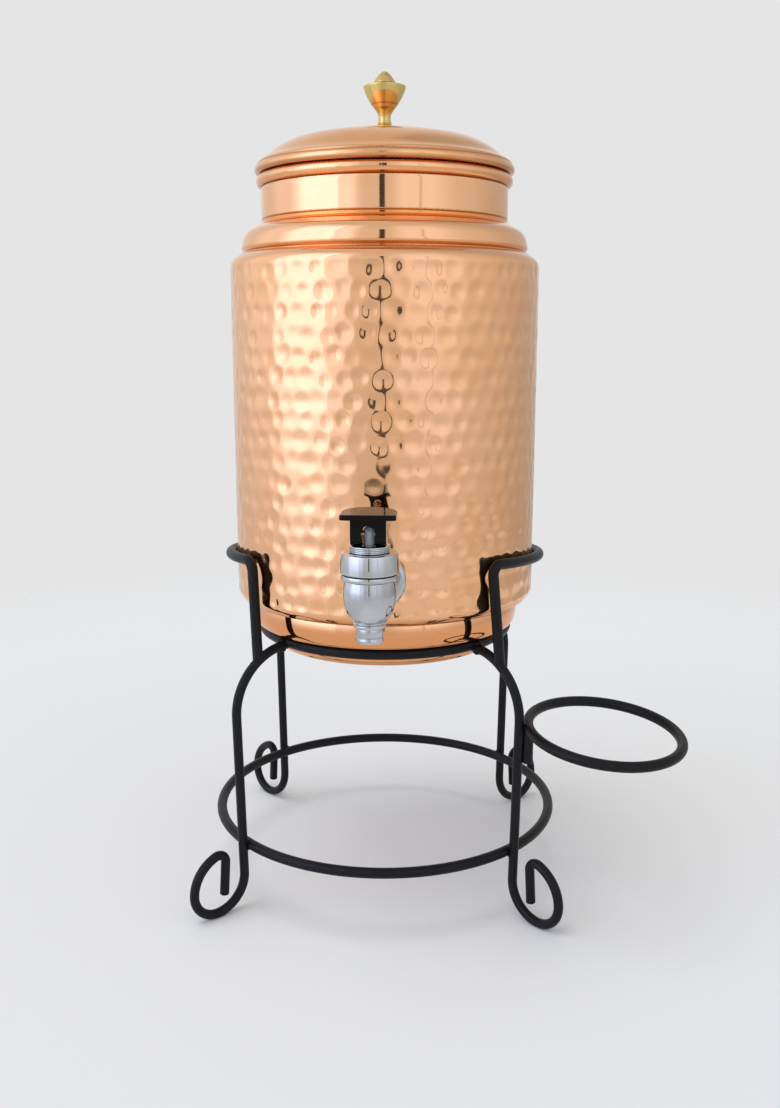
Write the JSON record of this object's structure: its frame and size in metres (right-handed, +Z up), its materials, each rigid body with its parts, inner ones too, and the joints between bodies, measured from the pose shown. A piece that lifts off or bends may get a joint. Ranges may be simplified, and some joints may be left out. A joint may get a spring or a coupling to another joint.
{
  "type": "water dispenser",
  "caption": "Hammered copper water pot with a domed lid, brass knob and push-lever tap, on a black rod stand with scroll feet, a guard hoop and a ring for a glass.",
  "frame": {"origin": "on the floor, on the axis of the pot and of the stand's rings, between the four feet", "axes": "+Z up along the pot's axis; the tap points to -Y; the glass ring is towards +X and -Y"},
  "size_m": [0.281, 0.2502, 0.4777],
  "materials": {
    "rod_black": "satin black paint",
    "copper_hammered": "polished copper with hammered dimples",
    "copper_smooth": "smooth polished copper",
    "tap_chrome": "polished chrome",
    "gasket_rubber": "soft black rubber",
    "nut_plastic": "moulded white plastic",
    "spring_steel": "plain stainless steel",
    "stem_grey": "grey moulded plastic",
    "plug_silicone": "pale grey silicone",
    "lever_black": "glossy black plastic",
    "knob_brass": "turned polished brass"
  },
  "bodies": {
    "stand": {"seat_ring": "rod_black", "foot_ring": "rod_black", "guard_hoop": "rod_black", "leg_front_left": "rod_black", "leg_front_right": "rod_black", "leg_back_left": "rod_black", "leg_back_right": "rod_black", "glass_ring": "rod_black", "glass_ring_post": "rod_black"},
    "pot": {"tank_wall": "copper_hammered", "tank_base": "copper_smooth", "tank_shoulder": "copper_smooth", "tap_body": "tap_chrome", "tap_flange": "tap_chrome", "tap_bonnet": "tap_chrome", "stem_guide": "tap_chrome", "outer_gasket": "gasket_rubber", "inner_gasket": "gasket_rubber", "lock_nut": "nut_plastic", "bonnet_seal": "gasket_rubber", "stem_seal": "gasket_rubber", "return_spring": "spring_steel"},
    "stem": {"tap_stem": "stem_grey", "seat_plug": "plug_silicone"},
    "lever": {"tap_lever": "lever_black", "lever_pin": "spring_steel"},
    "lid": {"lid_dome": "copper_smooth", "lid_skirt": "copper_smooth", "lid_knob": "knob_brass", "knob_washer": "knob_brass", "knob_screw": "spring_steel", "screw_washer": "spring_steel"}
  },
  "joints": [
    {"name": "pot_lift", "type": "slide", "parent": "stand", "child": "pot", "axis": [0, 0, 1], "range_m": [0, 0.08]},
    {"name": "lid_lift", "type": "slide", "parent": "pot", "child": "lid", "axis": [0, 0, 1], "range_m": [0, 0.06]},
    {"name": "stem_lift", "type": "slide", "parent": "pot", "child": "stem", "axis": [0, 0, 1], "range_m": [0, 0.0022], "stiffness_N_per_m": 400, "springref_m": -0.0025, "deforming": ["return_spring"]},
    {"name": "lever_tilt", "type": "hinge", "parent": "stem", "child": "lever", "pos_m": [0, -0.128, 0.23405], "axis": [1, 0, 0], "range_deg": [0, 28]}
  ],
  "couplings": [
    {"joint": "lever_tilt", "follows": "stem_lift", "rad_per_m": 222}
  ]
}
